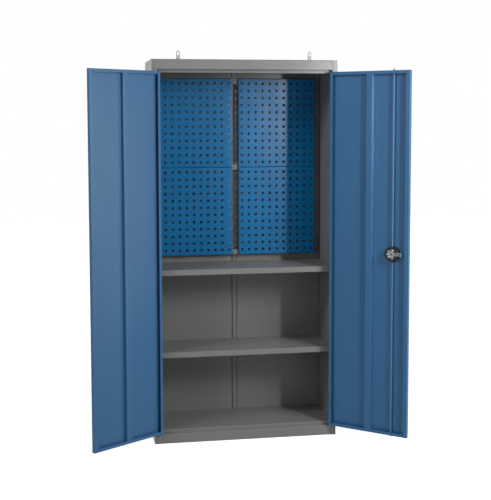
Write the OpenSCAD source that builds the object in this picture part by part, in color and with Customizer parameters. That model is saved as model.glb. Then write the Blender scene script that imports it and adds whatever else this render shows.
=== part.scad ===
// Two-door steel tool cabinet with peg panels, two shelves and a three-point lock.
// The frame is at the middle of the footprint on the floor: +X to the right as seen from
// the front, +Y to the back, +Z up. The doors stand open.

/* [Cabinet] */
// Width over the side panels
cabinet_w = 950; // [850:1:1100]
// Depth from the front of the posts to the back
cabinet_d = 370; // [330:1:500]
// Height without the eyelets
cabinet_h = 1950; // [1850:1:2100]
// Thickness of the carcass sheet
sheet = 1.2; // [0.8:0.1:1.5]
// Width of a front post
post_w = 28; // [24:1:34]
// Depth of a front post
post_d = 30; // [27:1:36]
// Height of the lintel over the doors
lintel_h = 50; // [44:1:60]
// Height of the plinth under the doors
plinth_h = 50; // [40:1:60]
// Distance from the front plane back to the door stops
stop_setback = 24; // [23:0.5:26]
// How far the stop strip hangs below the lintel
stop_drop = 16; // [12:1:20]
// Gap at each end of the stop strip
stop_end_gap = 8; // [4:1:12]
// Width of the flanges that close the rear and foot of a side panel
side_flange_w = 20; // [14:1:26]
// Depth of the folded edges of the back trays
tray_d = 8; // [6:0.5:14]

/* [Centre strip of the back] */
// Width of the strip between the back trays
strip_w = 22; // [18:1:26]
// Gap between the left tray and the strip
strip_gap_left = 7; // [3:0.5:9]
// Gap between the right tray and the strip
strip_gap_right = 1; // [0.5:0.5:4]
// Width of each rear flange of the strip
strip_flange_w = 19; // [16:1:24]

/* [Deck and shelves] */
// Height of the top of the deck
deck_z = 67; // [62:1:80]
// Depth of the folded edges of the deck
deck_edge_h = 37; // [34:1:40]
// Height of the top of the middle shelf
shelf_middle_z = 461; // [350:1:560]
// Height of the top of the upper shelf
shelf_upper_z = 886; // [760:1:900]
// Height of the front lip of a shelf
shelf_lip_h = 29; // [22:1:36]
// Width of the return under the front lip
shelf_return_w = 14; // [8:1:20]
// Distance from the front plane to a shelf's lip
shelf_setback = 46; // [40:1:70]
// Gap between a shelf and the walls
shelf_gap = 0.5; // [0.3:0.1:1]
// Height of the folded rear edge of a shelf
shelf_rear_h = 20; // [12:1:22]
// Length of a shelf clip
clip_l = 40; // [25:1:60]
// Height of the leg of a shelf clip
clip_h = 25; // [15:1:35]
// Width of the seat of a shelf clip
clip_w = 18; // [10:1:24]
// Distance from a shelf's front or rear edge to a clip
clip_inset = 30; // [15:1:60]

/* [Peg panels] */
// Spacing of the square holes
peg_pitch = 38; // [36:1:40]
// Side of a square hole
peg_hole = 13; // [8:0.5:14]
// Columns of holes in a panel
peg_cols = 11; // [6:1:11]
// Rows of holes in a panel
peg_rows = 12; // [6:1:12]
// Distance from the outer columns' centre to a panel's side edge
peg_side_margin = 17.8; // [14:0.2:20]
// Distance from the outer rows' centre to a panel's top or bottom edge
peg_end_margin = 25.5; // [16:0.5:26]
// Gap between the left and right panels
panel_gap_x = 35; // [26:1:44]
// Gap between the upper and lower panels
panel_gap_z = 2.2; // [1:0.1:6]
// Distance from the top of the cabinet to the top of the panels
panel_top_gap = 84.5; // [76:0.5:90]
// Depth of a panel's folded edges
panel_edge_d = 15; // [10:0.5:20]
// Distance from the back trays to the seat of the panels
rail_d = 28; // [20:1:36]
// Width of a panel rail's seat
rail_seat_w = 28; // [20:1:34]
// Width of each foot of a panel rail
rail_foot_w = 9; // [6:1:14]
// Distance of the rail bolts from the middle
rail_bolt_x = 7; // [6.5:0.1:7.3]

/* [Fixing eyelets] */
// Distance of an eyelet from the cabinet's side
eyelet_inset = 137; // [80:1:220]
// Distance of an eyelet from the front plane
eyelet_setback = 42; // [38:1:70]
// Width of an eyelet
eyelet_w = 18; // [16:1:24]
// Height of an eyelet over the roof
eyelet_h = 45; // [40:1:60]
// Thickness of an eyelet
eyelet_t = 3; // [2:0.5:4]
// Length of an eyelet's foot
eyelet_foot_l = 28; // [24:1:36]
// Radius of an eyelet's slot
eyelet_slot_r = 4.2; // [3.5:0.1:4.5]
// Distance between the ends' centres of an eyelet's slot
eyelet_slot_l = 12; // [6:1:14]

/* [Doors] */
// Thickness of the door sheet
door_sheet = 1; // [0.8:0.1:1.2]
// Depth of a door
door_d = 20; // [19:0.5:21]
// Gap between a door and its post
door_gap_side = 2; // [1.8:0.1:2.2]
// Gap between the closed doors
door_gap_middle = 4; // [3:0.5:8]
// Gap between a door and the lintel
door_gap_top = 10; // [9:0.5:14]
// Gap between a door and the plinth
door_gap_bottom = 6; // [5:0.5:10]
// Width of the lips along the hinge edge, the top and the bottom
door_lip = 16; // [12:1:18]
// Width of the lip along the free edge
free_lip = 22; // [14:1:26]
// Slit between two lips at a corner
lip_slit = 1.5; // [0.5:0.5:3]
// Width of the crown of a stiffener
stiffener_w = 35; // [25:1:45]
// Width of each foot of a stiffener
stiffener_foot_w = 17; // [10:1:22]
// Angle at which the left door stands open
open_left = 143.75; // [0:0.25:175]
// Angle at which the right door stands open
open_right = 136.9; // [0:0.1:175]

/* [Hinges] */
// Radius of a hinge pin
pin_r = 2.5; // [2:0.1:2.8]
// Radial play of a hinge knuckle on its pin
pin_play = 0.05; // [0.02:0.01:0.08]
// Radius of the head of a hinge pin
pin_head_r = 4; // [3.5:0.1:4.3]
// Height of the head of a hinge pin
pin_head_h = 1.5; // [1:0.1:2]
// Outer radius of a hinge knuckle
knuckle_r = 4.5; // [4:0.1:5]
// Height of the door's knuckle
door_knuckle_h = 18; // [14:1:20]
// Height of each of the post's two knuckles
post_knuckle_h = 10; // [8:1:14]
// Thickness of a hinge washer
washer_t = 0.6; // [0.4:0.1:1]
// Gap on each side of a hinge washer
washer_play = 0.1; // [0.05:0.05:0.2]
// Thickness of a hinge leaf
leaf_t = 1.5; // [1:0.1:1.6]
// Height of a door's leaf
door_leaf_h = 28; // [24:1:40]
// Height of a post's leaf
post_leaf_h = 46; // [44:1:60]
// Distance from the top of a door to its upper hinge
hinge_from_top = 127; // [80:1:250]
// Distance from the bottom of a door to its lower hinge
hinge_from_bottom = 118; // [80:1:250]

/* [Lock] */
// Height of the lock
lock_z = 980; // [940:1:1100]
// Distance from the free edge to the lock
lock_inset = 90; // [80:1:110]
// Radius of the lock housing and its outer plate
lock_r = 38; // [37:1:42]
// Depth of the lock housing
lock_housing_d = 23; // [22:0.5:26]
// Wall of the lock housing
lock_wall = 2.5; // [2:0.1:2.8]
// Thickness of the plate outside the door
lock_plate_t = 5; // [3:0.5:8]
// Radius of the handle's disc
handle_r = 32; // [26:1:36]
// Thickness of the handle's disc
handle_t = 8; // [6:0.5:12]
// Height of the handle's grip over its disc
grip_h = 20; // [14:1:26]
// Width of the handle's grip
grip_w = 18; // [17:1:24]
// Radius of the spindle
spindle_r = 5; // [4.5:0.1:5.2]
// Radius of the key plug
plug_r = 6; // [5:0.1:7]
// Radial play of the spindle, the key plug and the rods in their bores
turn_play = 0.06; // [0.03:0.01:0.08]
// Height of a rod bush inside the door
bush_h = 4; // [3:0.5:8]
// Width of a rod bush's flange
bush_flange_w = 1; // [0.5:0.1:1.5]
// Travel of a rod for a quarter turn of the handle
rod_travel = 16; // [12:1:16]
// Radius of a rod
rod_r = 4; // [3.5:0.1:4.2]
// Distance from the outside of the door to the middle of a rod
rod_depth = 12; // [11.5:0.1:12.2]
// How far the upper rod stands out of the door with the lock open
upper_tip = 8.5; // [6:0.5:8.5]
// How far the lower rod stands out of the door with the lock open
lower_tip = 4.5; // [3:0.5:4.5]
// Clearance round a rod in the lintel and the plinth
rod_hole_gap = 1; // [0.5:0.1:2]
// Radius of a driver pin
driver_pin_r = 2.5; // [2:0.1:2.6]
// Play of a driver pin in its fork
fork_play = 0.8; // [0.6:0.1:1]
// Thickness of a fork
fork_t = 3; // [2:0.5:4]
// Thickness of the cam plate
cam_t = 3; // [2:0.5:4]
// Reach of the cam's tongue from the middle of the lock
tongue_reach = 57; // [48:1:60]
// Width of the end of the cam's tongue
tongue_w = 22; // [16:1:24]

/* [Hidden] */
$fn = 48;

carcass_grey = "#7d7c7b";
door_blue = "#35658f";
panel_blue = "#00689f";
zinc = "#a6aaae";
black = "#1c1d1f";
nylon = "#2a2a2c";

// Planes of the carcass
front_y = -cabinet_d / 2;
back_y = cabinet_d / 2;
half_w = cabinet_w / 2;
inner_x = half_w - sheet;
opening_x = half_w - post_w;
eyelet_x = half_w - eyelet_inset;
stop_y = front_y + stop_setback;
post_back_y = front_y + post_d;
tray_y = back_y - tray_d;
lintel_z = cabinet_h - lintel_h;

// Doors in their own frame: x from the hinge axis to the free edge, y from the outside in
hinge_x = opening_x - door_gap_side;
door_w = hinge_x - door_gap_middle / 2;
door_z0 = plinth_h + door_gap_bottom;
door_z1 = lintel_z - door_gap_top;
hinge_zs = [door_z0 + hinge_from_bottom, door_z1 - hinge_from_top];
barrel_gap = washer_t + 2 * washer_play;
barrel_h = door_knuckle_h + 2 * (barrel_gap + post_knuckle_h);
barrel_clearance = 0.8;
leaf_clearance = 0.5;

// Lock in the door's frame
lock_x = door_w - lock_inset;
housing_y = door_sheet + lock_housing_d;
crank_r = rod_travel / sqrt(2);
crank_x = crank_r / sqrt(2);
fork_y0 = rod_depth - fork_t / 2;
fork_gap = driver_pin_r + fork_play;
fork_finger = 3.5;
fork_inner_x = spindle_r + 1;
fork_spine_x = crank_r + fork_gap;
fork_spine_w = 4;
fork_bridge_z = spindle_r + 1.5;
fork_bridge_h = 5;
rod_foot_z = fork_bridge_z + fork_bridge_h;
bush_r = rod_r + 1.5;

// A box between two corners
module box(from, to) {
    translate(from) cube(to - from);
}

// A cylinder along Y
module rod_y(r, y0, y1) {
    translate([0, y0, 0]) rotate([-90, 0, 0]) cylinder(r = r, h = y1 - y0);
}

// What is drawn for the left side, on the side asked for
module on_side(side) {
    if (side == "left") children();
    else mirror([1, 0, 0]) children();
}

// Places a closed-door shape, drawn in the door's own frame, at the hinge axis
module at_hinge(side) {
    on_side(side) translate([-hinge_x, front_y, 0]) children();
}

// The same, swung open
module on_door(side) {
    at_hinge(side) rotate([0, 0, side == "left" ? -open_left : -open_right]) children();
}

// The lock's frame: the right door's, moved to the middle of the lock
module at_lock() {
    on_door("right") translate([lock_x, 0, lock_z]) children();
}

// The notch that a post and a door have round a hinge's barrel and its pin's head
module hinge_notch() {
    h = barrel_h + 2 * (pin_head_h + barrel_clearance);
    translate([0, 0, -h / 2]) cylinder(r = knuckle_r + barrel_clearance, h = h);
}

// ---- Carcass ----

module side_panel(side) {
    color(carcass_grey) on_side(side) difference() {
        union() {
            box([-half_w, front_y, 0], [-inner_x, back_y, cabinet_h]);
            box([-half_w, front_y, 0], [-opening_x, front_y + sheet, cabinet_h]);
            box([-opening_x - sheet, front_y, 0], [-opening_x, post_back_y, cabinet_h - sheet]);
            box([-inner_x + 3, post_back_y - sheet, 0], [-opening_x, post_back_y, cabinet_h - sheet]);
            box([-half_w, back_y - sheet, 0], [-half_w + side_flange_w, back_y, cabinet_h]);
            box([-half_w, post_back_y + 1, 0], [-half_w + side_flange_w, back_y, sheet]);
        }
        for (z = hinge_zs) translate([-hinge_x, front_y, z]) hinge_notch();
    }
}

// A tray with its edges folded back, between two corners in X and Z
module back_tray(x0, x1) {
    z0 = plinth_h;
    z1 = cabinet_h - sheet;
    color(carcass_grey) difference() {
        box([x0, tray_y, z0], [x1, back_y - sheet, z1]);
        box([x0 + sheet, tray_y + sheet, z0 + sheet], [x1 - sheet, back_y, z1 - sheet]);
    }
}

module back_strip() {
    z0 = plinth_h;
    z1 = cabinet_h - sheet;
    face_x = strip_w / 2;
    color(carcass_grey) difference() {
        union() {
            box([-face_x, tray_y, z0], [face_x, tray_y + sheet, z1]);
            for (x = [-face_x, face_x - sheet]) box([x, tray_y, z0], [x + sheet, back_y, z1]);
            for (x = [-face_x - strip_flange_w, face_x - sheet])
                box([x, back_y - sheet, z0], [x + strip_flange_w + sheet, back_y, z1]);
        }
        rail_bolt_places() rod_y(panel_bolt_r, -1, sheet + 1);
    }
}

module roof_panel() {
    color(carcass_grey) difference() {
        box([-inner_x, front_y + sheet, cabinet_h - sheet], [inner_x, back_y, cabinet_h]);
        for (x = [-inner_x, inner_x - side_flange_w + sheet]) box(
            [x, back_y - sheet, 0], [x + side_flange_w - sheet, back_y + 1, cabinet_h + 1]);
        eyelet_places() translate([0, eyelet_bolt_y, -2 * sheet]) cylinder(r = eyelet_bolt_r, h = 4 * sheet);
    }
}

// A hole for a rod's tip, through the lintel or the plinth with the right door closed
module rod_hole(z) {
    translate([hinge_x - lock_x, front_y + rod_depth, z - 1]) cylinder(r = rod_r + rod_hole_gap, h = sheet + 2);
}

module lintel() {
    color(carcass_grey) difference() {
        union() {
            box([-opening_x, front_y, lintel_z], [opening_x, front_y + sheet, cabinet_h]);
            box([-opening_x, front_y, lintel_z], [opening_x, stop_y, lintel_z + sheet]);
            box([-opening_x, stop_y - sheet, lintel_z], [opening_x, stop_y, lintel_z + stop_drop]);
            box([-opening_x, front_y, cabinet_h - 2 * sheet], [opening_x, stop_y, cabinet_h - sheet]);
        }
        rod_hole(lintel_z);
    }
}

module door_stop_strip() {
    x = opening_x - stop_end_gap;
    color(carcass_grey) box([-x, stop_y, lintel_z - stop_drop], [x, stop_y + sheet, lintel_z + stop_drop]);
}

module base_deck() {
    z0 = deck_z - deck_edge_h;
    wide_y = post_back_y + shelf_gap;
    color(carcass_grey) {
        box([-opening_x, stop_y, deck_z - sheet], [opening_x, tray_y, deck_z]);
        box([-inner_x, wide_y, deck_z - sheet], [inner_x, tray_y, deck_z]);
        box([-opening_x, stop_y, z0], [opening_x, stop_y + sheet, deck_z]);
        for (x = [-inner_x, inner_x - sheet]) box([x, wide_y, z0], [x + sheet, tray_y, deck_z]);
        box([-inner_x, tray_y - sheet, z0], [inner_x, tray_y, deck_z]);
    }
}

module plinth_front() {
    color(carcass_grey) difference() {
        union() {
            box([-opening_x, front_y, 0], [opening_x, front_y + sheet, plinth_h]);
            box([-opening_x, front_y, plinth_h - sheet], [opening_x, stop_y, plinth_h]);
            box([-opening_x, front_y, 0], [opening_x, stop_y, sheet]);
        }
        rod_hole(plinth_h - sheet);
    }
}

module plinth_rear() {
    x = half_w - side_flange_w;
    color(carcass_grey) {
        box([-x, back_y - sheet, 0], [x, back_y, plinth_h]);
        box([-x, tray_y, plinth_h - sheet], [x, back_y, plinth_h]);
        box([-x, stop_y + cabinet_d - 2 * stop_setback, 0], [x, back_y, sheet]);
    }
}

// ---- Shelves ----

module shelf(z) {
    x = inner_x - shelf_gap;
    y0 = front_y + shelf_setback;
    y1 = tray_y - shelf_gap;
    z0 = z - shelf_lip_h;
    color(carcass_grey) {
        box([-x, y0, z - sheet], [x, y1, z]);
        box([-x, y0, z0], [x, y0 + sheet, z]);
        box([-x + 2, y0, z0], [x - 2, y0 + shelf_return_w, z0 + sheet]);
        box([-x, y1 - sheet, z - shelf_rear_h], [x, y1, z]);
        for (side_x = [-x, x - sheet]) box([side_x, y0, z0], [side_x + sheet, y1, z]);
    }
}

module shelf_clips(z) {
    z1 = z - shelf_lip_h;
    y0 = front_y + shelf_setback + clip_inset;
    y1 = tray_y - shelf_gap - clip_inset - clip_l;
    color(zinc) for (side = ["left", "right"]) for (y = [y0, y1]) on_side(side) {
        box([-inner_x, y, z1 - clip_h], [-inner_x + 1.5, y + clip_l, z1]);
        box([-inner_x, y, z1 - 1.5], [-inner_x + clip_w, y + clip_l, z1]);
    }
}

// ---- Peg panels and their rails ----

panel_w = (peg_cols - 1) * peg_pitch + 2 * peg_side_margin;
panel_h = (peg_rows - 1) * peg_pitch + 2 * peg_end_margin;
panel_top_z = cabinet_h - panel_top_gap;
panel_mid_z = panel_top_z - panel_h - panel_gap_z / 2;
panel_bottom_z = panel_mid_z - panel_gap_z / 2 - panel_h;
panel_y = tray_y - rail_d - panel_edge_d;
rail_overlap = 12;
panel_bolt_r = 2;
rail_zs = [panel_top_z - rail_overlap, panel_mid_z, panel_bottom_z + rail_overlap];

module peg_panel(side, z0) {
    x1 = -panel_gap_x / 2;
    x0 = x1 - panel_w;
    y1 = panel_y + panel_edge_d;
    color(panel_blue) on_side(side) difference() {
        box([x0, panel_y, z0], [x1, y1, z0 + panel_h]);
        box([x0 + sheet, panel_y + sheet, z0 + sheet], [x1 - sheet, y1 + 1, z0 + panel_h - sheet]);
        for (col = [0 : peg_cols - 1]) for (row = [0 : peg_rows - 1]) {
            x = x0 + peg_side_margin + col * peg_pitch - peg_hole / 2;
            z = z0 + peg_end_margin + row * peg_pitch - peg_hole / 2;
            box([x, panel_y - 1, z], [x + peg_hole, panel_y + sheet + 1, z + peg_hole]);
        }
    }
}

// Places its children at both bolts of each rail, on the back trays' plane
module rail_bolt_places() {
    for (x = [-rail_bolt_x, rail_bolt_x]) for (z = rail_zs) translate([x, tray_y, z]) children();
}

module panel_rail(z) {
    x = panel_gap_x / 2 + panel_w;
    y0 = tray_y - rail_d;
    color(carcass_grey) difference() {
        union() {
            box([-x, y0, z - rail_seat_w / 2], [x, y0 + sheet, z + rail_seat_w / 2]);
            for (up = [-1, 1]) {
                web_z = z + up * (rail_seat_w - sheet) / 2;
                foot_z = z + up * (rail_seat_w + rail_foot_w - sheet) / 2;
                box([-x, y0, web_z - sheet / 2], [x, tray_y, web_z + sheet / 2]);
                box([-x, tray_y - sheet, foot_z - rail_foot_w / 2], [x, tray_y, foot_z + rail_foot_w / 2]);
            }
        }
        rail_bolt_places() rod_y(panel_bolt_r, -rail_d - 1, -rail_d + sheet + 1);
    }
}

module panel_rail_bolts() {
    color(carcass_grey) rail_bolt_places() {
        rod_y(2 * panel_bolt_r, -rail_d - 3, -rail_d);
        rod_y(panel_bolt_r, -rail_d - 1, tray_d - 2 * sheet);
    }
}

// ---- Fixing eyelets ----

eyelet_bolt_r = 3;
eyelet_bolt_y = eyelet_foot_l - 10;

module eyelet_places() {
    for (side = ["left", "right"]) on_side(side)
        translate([-eyelet_x, front_y + eyelet_setback, cabinet_h]) children();
}

module eyelet_shape() {
    r = eyelet_w / 2;
    top_z = eyelet_h - r;
    difference() {
        union() {
            box([-r, 0, 0], [r, eyelet_t, top_z]);
            translate([0, 0, top_z]) rod_y(r, 0, eyelet_t);
            box([-r, 0, 0], [r, eyelet_foot_l, eyelet_t]);
        }
        for (z = [top_z - eyelet_slot_l, top_z]) translate([0, 0, z]) rod_y(eyelet_slot_r, -1, eyelet_t + 1);
        box([-eyelet_slot_r, -1, top_z - eyelet_slot_l], [eyelet_slot_r, eyelet_t + 1, top_z]);
        translate([0, eyelet_bolt_y, -1]) cylinder(r = eyelet_bolt_r, h = eyelet_t + 2);
    }
}

module eyelet(side) {
    color(zinc) on_side(side) translate([-eyelet_x, front_y + eyelet_setback, cabinet_h]) eyelet_shape();
}

module eyelet_bolts() {
    color(zinc) eyelet_places() translate([0, eyelet_bolt_y, 0]) {
        translate([0, 0, eyelet_t]) cylinder(r = 5, h = 4, $fn = 6);
        translate([0, 0, -12]) cylinder(r = eyelet_bolt_r, h = 12 + eyelet_t);
    }
}

module eyelet_nuts() {
    color(zinc) eyelet_places() translate([0, eyelet_bolt_y, -sheet - 5]) difference() {
        cylinder(r = 5.5, h = 5, $fn = 6);
        translate([0, 0, -1]) cylinder(r = eyelet_bolt_r, h = 7);
    }
}

// ---- Hinges, in the door's frame with the hinge axis at the origin ----

module post_hinge_leaves(side) {
    leaf_x = -door_gap_side;
    color(zinc) at_hinge(side) for (z = hinge_zs) translate([0, 0, z]) difference() {
        union() {
            box([leaf_x, 0, -post_leaf_h / 2], [leaf_x + leaf_t, post_d - 2, post_leaf_h / 2]);
            for (z0 = [-barrel_h / 2, barrel_h / 2 - post_knuckle_h])
                translate([0, 0, z0]) cylinder(r = knuckle_r, h = post_knuckle_h);
        }
        translate([0, 0, -post_leaf_h]) cylinder(r = pin_r + pin_play, h = 2 * post_leaf_h);
        gap_h = door_knuckle_h + 2 * barrel_gap;
        translate([0, 0, -gap_h / 2]) cylinder(r = knuckle_r + leaf_clearance, h = gap_h);
        translate([0, 0, barrel_h / 2]) cylinder(r = pin_head_r + leaf_clearance, h = post_leaf_h);
    }
}

module hinge_pins(side) {
    color(zinc) at_hinge(side) for (z = hinge_zs) translate([0, 0, z - barrel_h / 2]) {
        cylinder(r = pin_r, h = barrel_h);
        translate([0, 0, barrel_h]) cylinder(r = pin_head_r, h = pin_head_h);
    }
}

module hinge_washers(side) {
    color(zinc) at_hinge(side) for (z = hinge_zs) for (up = [-1, 1])
        translate([0, 0, z + up * (door_knuckle_h + barrel_gap) / 2 - washer_t / 2]) difference() {
            cylinder(r = knuckle_r, h = washer_t);
            translate([0, 0, -1]) cylinder(r = pin_r + pin_play, h = washer_t + 2);
        }
}

module door_hinge_leaves(side) {
    color(door_blue) on_door(side) for (z = hinge_zs) translate([0, 0, z]) difference() {
        union() {
            box([door_sheet, door_sheet, -door_leaf_h / 2],
                [door_sheet + leaf_t, door_d - 2, door_leaf_h / 2]);
            box([door_sheet, door_sheet, -door_leaf_h / 2],
                [door_lip + 4, door_sheet + leaf_t, door_leaf_h / 2]);
            translate([0, 0, -door_knuckle_h / 2]) cylinder(r = knuckle_r, h = door_knuckle_h);
        }
        translate([0, 0, -door_leaf_h]) cylinder(r = pin_r + pin_play, h = 2 * door_leaf_h);
        for (z0 = [-door_leaf_h, door_knuckle_h / 2]) translate([0, 0, z0])
            cylinder(r = knuckle_r + leaf_clearance, h = door_leaf_h - door_knuckle_h / 2);
    }
}

// ---- Doors ----

// A pan with lips folded in on all four edges
module door_pan() {
    inner_y = door_d - door_sheet;
    z0 = door_z0;
    z1 = door_z1;
    difference() {
        box([0, 0, z0], [door_w, door_d, z1]);
        box([door_sheet, door_sheet, z0 + door_sheet], [door_w - door_sheet, inner_y, z1 - door_sheet]);
        box([door_lip, door_sheet, z0 + door_lip], [door_w - free_lip, door_d + 1, z1 - door_lip]);
        for (z = [z0 + door_sheet, z1 - door_lip]) for (x = [door_lip, door_w - free_lip - lip_slit])
            box([x, inner_y - 0.5, z], [x + lip_slit, door_d + 1, z + door_lip - door_sheet]);
        for (z = hinge_zs) translate([0, 0, z]) hinge_notch();
    }
}

module door_left() {
    color(door_blue) on_door("left") door_pan();
}

module door_right() {
    color(door_blue) on_door("right") difference() {
        door_pan();
        translate([lock_x, 0, lock_z]) rod_y(spindle_r + 1, -1, door_sheet + 1);
        translate([lock_x, rod_depth, 0]) {
            translate([0, 0, door_z0 - 1]) cylinder(r = bush_r, h = door_sheet + 2);
            translate([0, 0, door_z1 - door_sheet - 1]) cylinder(r = bush_r, h = door_sheet + 2);
        }
    }
}

// A hat channel from wall to wall of the pan, under the lips
module door_stiffener(side) {
    crown_y = door_d - 2 * door_sheet;
    z0 = door_z0 + door_sheet;
    z1 = door_z1 - door_sheet;
    color(door_blue) on_door(side) translate([door_w / 2, 0, 0]) {
        box([-stiffener_w / 2, crown_y, z0], [stiffener_w / 2, crown_y + door_sheet, z1]);
        for (x = [-stiffener_w / 2, stiffener_w / 2 - door_sheet])
            box([x, door_sheet, z0], [x + door_sheet, crown_y + door_sheet, z1]);
        for (x = [-stiffener_w / 2 - stiffener_foot_w, stiffener_w / 2])
            box([x, door_sheet, z0], [x + stiffener_foot_w, 2 * door_sheet, z1]);
    }
}

// ---- Lock, in the frame of its middle: x to the free edge, y inwards ----

module lock_outer_plate() {
    color(black) at_lock() difference() {
        rod_y(lock_r, -lock_plate_t, 0);
        rod_y(spindle_r + turn_play, -lock_plate_t - 1, 1);
    }
}

module lock_housing() {
    color(black) at_lock() difference() {
        rod_y(lock_r, door_sheet, housing_y);
        rod_y(lock_r - lock_wall, door_sheet - 1, housing_y - lock_wall);
        rod_y(spindle_r + turn_play, 0, housing_y + 1);
        slot_r = rod_r + 0.5;
        box([-slot_r, rod_depth - slot_r, -lock_r - 1], [slot_r, rod_depth + slot_r, lock_r + 1]);
    }
}

module rod_bush() {
    difference() {
        union() {
            cylinder(r = bush_r, h = bush_h + door_sheet);
            cylinder(r = bush_r + bush_flange_w, h = bush_h);
        }
        translate([0, 0, -1]) cylinder(r = rod_r + turn_play, h = bush_h + door_sheet + 2);
    }
}

module rod_bushes() {
    color(nylon) on_door("right") translate([lock_x, rod_depth, 0]) {
        translate([0, 0, door_z1 - door_sheet - bush_h]) rod_bush();
        translate([0, 0, door_z0 + door_sheet + bush_h]) mirror([0, 0, 1]) rod_bush();
    }
}

disc_y = -lock_plate_t - 0.3;
grip_y = disc_y - handle_t - grip_h;
plug_l = 12;

module lock_handle() {
    grip_x = handle_r - grip_w / 2;
    color(black) at_lock() difference() {
        union() {
            rod_y(handle_r, disc_y - handle_t, disc_y);
            box([-grip_x, grip_y, -grip_w / 2], [grip_x, disc_y, grip_w / 2]);
            for (x = [-grip_x, grip_x]) translate([x, 0, 0]) rod_y(grip_w / 2, grip_y, disc_y);
        }
        rod_y(spindle_r, disc_y - handle_t, 1);
        rod_y(plug_r + turn_play, grip_y - 1, grip_y + plug_l);
    }
}

module key_plug() {
    color(zinc) at_lock() difference() {
        rod_y(plug_r, grip_y - 0.8, grip_y + plug_l - 0.1);
        box([-4, grip_y - 2, -0.8], [4, grip_y + 4, 0.8]);
    }
}

module lock_spindle() {
    color(zinc) at_lock() rod_y(spindle_r, disc_y - handle_t, housing_y + 0.3 + cam_t + 5);
}

driver_y0 = 3.5;
driver_t = 3.5;

module lock_driver() {
    color(zinc) at_lock() {
        difference() {
            rod_y(crank_r + driver_pin_r + 2, driver_y0, driver_y0 + driver_t);
            rod_y(spindle_r, driver_y0 - 1, driver_y0 + driver_t + 1);
        }
        for (x = [-crank_x, crank_x]) translate([x, 0, -x])
            rod_y(driver_pin_r, driver_y0 + driver_t, rod_depth + fork_t / 2 + 1);
    }
}

module lock_cam() {
    y0 = housing_y + 0.3;
    hub_r = 20;
    lobe_r = 7.5;
    end_l = 13;
    color(zinc) at_lock() difference() {
        union() {
            rod_y(hub_r, y0, y0 + cam_t);
            for (a = [75, 135, 180, 225, 285]) rotate([0, -a, 0]) translate([hub_r - 1, 0, 0])
                rod_y(lobe_r, y0, y0 + cam_t);
            box([0, y0, -8], [tongue_reach, y0 + cam_t, 8]);
            box([tongue_reach - end_l, y0, -tongue_w / 2], [tongue_reach, y0 + cam_t, tongue_w / 2]);
        }
        rod_y(spindle_r, y0 - 1, y0 + cam_t + 1);
        translate([tongue_reach - end_l, 0, 0]) rod_y(3, y0 - 1, y0 + cam_t + 1);
    }
}

module lock_cam_nut() {
    y0 = housing_y + 0.3 + cam_t;
    color(zinc) at_lock() difference() {
        translate([0, y0, 0]) rotate([-90, 0, 0]) cylinder(r = 9, h = 4, $fn = 6);
        rod_y(spindle_r, y0 - 1, y0 + 5);
    }
}

// ---- Rods and their forks, in the lock's frame ----

// The upper rod's fork; the lower one is the same piece turned half a turn
module rod_fork() {
    y0 = fork_y0;
    y1 = fork_y0 + fork_t;
    spine_x1 = fork_spine_x + fork_spine_w;
    for (z = [-crank_x - fork_gap - fork_finger, -crank_x + fork_gap])
        box([fork_inner_x, y0, z], [spine_x1, y1, z + fork_finger]);
    box([fork_spine_x, y0, -crank_x - fork_gap - fork_finger], [spine_x1, y1, rod_foot_z]);
    box([-rod_r, y0, fork_bridge_z], [spine_x1, y1, rod_foot_z]);
}

// A rod from the fork's bridge to its rounded tip
module rod(tip_z) {
    tip_h = 3;
    translate([0, rod_depth, rod_foot_z]) cylinder(r = rod_r, h = tip_z - tip_h - rod_foot_z);
    translate([0, rod_depth, tip_z - tip_h]) rotate_extrude() {
        square([rod_r - 1.5, tip_h]);
        square([rod_r, tip_h - 1.5]);
        translate([rod_r - 1.5, tip_h - 1.5]) intersection() {
            circle(r = 1.5);
            square(1.5);
        }
    }
}

module upper_rod() {
    color(zinc) at_lock() rod(door_z1 + upper_tip - lock_z);
}

module upper_rod_fork() {
    color(zinc) at_lock() rod_fork();
}

module lower_rod() {
    color(zinc) at_lock() rotate([0, 180, 0]) rod(lock_z - door_z0 + lower_tip);
}

module lower_rod_fork() {
    color(zinc) at_lock() rotate([0, 180, 0]) rod_fork();
}

side_panel("left");  // side_panel_left
side_panel("right");  // side_panel_right
back_tray(-inner_x, -strip_w / 2 - strip_gap_left);  // back_tray_left
back_tray(strip_w / 2 + strip_gap_right, inner_x);  // back_tray_right
back_strip();
roof_panel();
lintel();
door_stop_strip();
base_deck();
plinth_front();
plinth_rear();
shelf(shelf_middle_z);  // shelf_middle
shelf(shelf_upper_z);  // shelf_upper
shelf_clips(shelf_middle_z);  // shelf_clips_middle
shelf_clips(shelf_upper_z);  // shelf_clips_upper
panel_rail(rail_zs[0]);  // panel_rail_top
panel_rail(rail_zs[1]);  // panel_rail_middle
panel_rail(rail_zs[2]);  // panel_rail_bottom
panel_rail_bolts();
peg_panel("left", panel_top_z - panel_h);  // peg_panel_upper_left
peg_panel("right", panel_top_z - panel_h);  // peg_panel_upper_right
peg_panel("left", panel_bottom_z);  // peg_panel_lower_left
peg_panel("right", panel_bottom_z);  // peg_panel_lower_right
eyelet("left");  // eyelet_left
eyelet("right");  // eyelet_right
eyelet_bolts();
eyelet_nuts();
post_hinge_leaves("left");  // post_hinge_leaves_left
post_hinge_leaves("right");  // post_hinge_leaves_right
hinge_pins("left");  // hinge_pins_left
hinge_pins("right");  // hinge_pins_right
hinge_washers("left");  // hinge_washers_left
hinge_washers("right");  // hinge_washers_right
door_left();
door_stiffener("left");  // door_stiffener_left
door_hinge_leaves("left");  // door_hinge_leaves_left
door_right();
door_stiffener("right");  // door_stiffener_right
door_hinge_leaves("right");  // door_hinge_leaves_right
lock_outer_plate();
lock_housing();
rod_bushes();
lock_handle();
lock_spindle();
lock_driver();
lock_cam();
lock_cam_nut();
key_plug();
upper_rod();
upper_rod_fork();
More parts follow.
